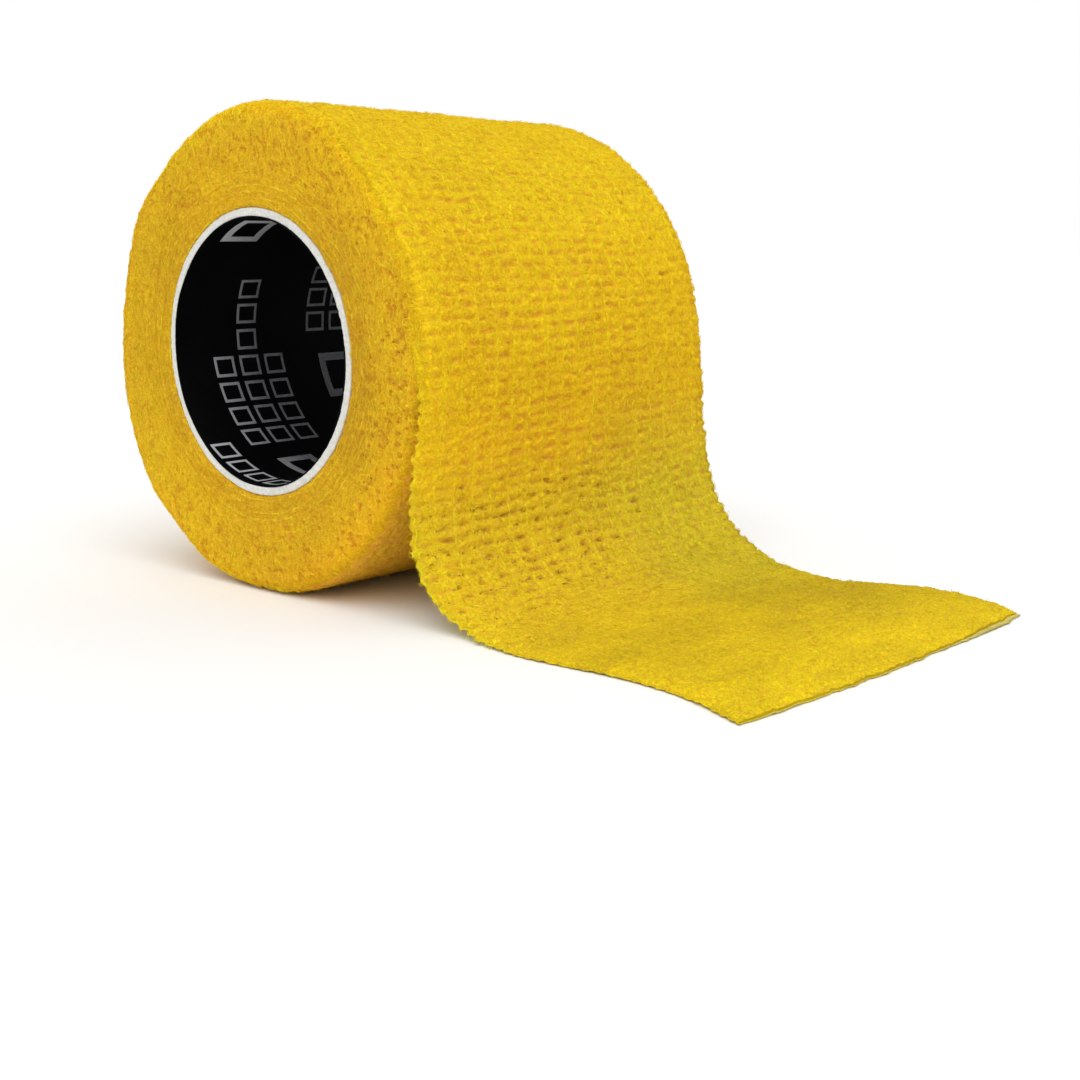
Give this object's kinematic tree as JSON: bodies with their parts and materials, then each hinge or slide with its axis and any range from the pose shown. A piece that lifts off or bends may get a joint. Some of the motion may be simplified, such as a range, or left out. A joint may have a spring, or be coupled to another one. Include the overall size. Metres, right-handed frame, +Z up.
{
  "type": "elastic grip tape roll",
  "caption": "Roll of self-gripping elastic wrap tape on a paper core, its loose end hanging down and lying flat beside it.",
  "frame": {"origin": "on the roll's axis, midway between its two end faces", "axes": "+Z up, +Y along the core's axis, +X towards the tape's loose end"},
  "size_m": [0.1025, 0.0508, 0.0579],
  "materials": {
    "tape_face": "matt crepe nonwoven",
    "tape_back": "matt crepe nonwoven, a little paler",
    "elastic_thread": "satin thread",
    "core_board": "matt paperboard",
    "liner_paper": "black printed paper with plain grey bars"
  },
  "bodies": {
    "roll": {"wound_back_web": "tape_back", "wound_elastic_threads": "elastic_thread", "wound_face_web": "tape_face", "outer_wrap_back_web": "tape_back", "outer_wrap_elastic_threads": "elastic_thread", "outer_wrap_face_web": "tape_face"},
    "core": {"core_printed_liner": "liner_paper", "core_inner_board_ply": "core_board", "core_outer_board_ply": "core_board"},
    "loose_wrap": {"loose_wrap_back_web": "tape_back", "loose_wrap_elastic_threads": "elastic_thread", "loose_wrap_face_web": "tape_face"},
    "tail_drop": {"tail_drop_back_web": "tape_back", "tail_drop_elastic_threads": "elastic_thread", "tail_drop_face_web": "tape_face"},
    "tail_floor": {"tail_floor_back_web": "tape_back", "tail_floor_elastic_threads": "elastic_thread", "tail_floor_face_web": "tape_face"},
    "tail_tip": {"tail_tip_back_web": "tape_back", "tail_tip_elastic_threads": "elastic_thread", "tail_tip_face_web": "tape_face"}
  },
  "joints": [
    {"name": "core_push_out", "type": "slide", "parent": "roll", "child": "core", "axis": [0, 1, 0], "range_m": [-0.056, 0.056]},
    {"name": "wrap_peel", "type": "hinge", "parent": "roll", "child": "loose_wrap", "pos_m": [0.01444, 0, 0.02466], "axis": [0, -1, 0], "range_deg": [0, 75]},
    {"name": "tail_root_bend", "type": "hinge", "parent": "loose_wrap", "child": "tail_drop", "pos_m": [0.02867, 0, 0.00075], "axis": [0, -1, 0], "range_deg": [0, 65]},
    {"name": "tail_floor_bend", "type": "hinge", "parent": "tail_drop", "child": "tail_floor", "pos_m": [0.02912, 0, -0.01645], "axis": [0, -1, 0], "range_deg": [-55, 50]},
    {"name": "tail_tip_bend", "type": "hinge", "parent": "tail_floor", "child": "tail_tip", "pos_m": [0.05531, 0, -0.02873], "axis": [0, -1, 0], "range_deg": [-55, 50]}
  ]
}
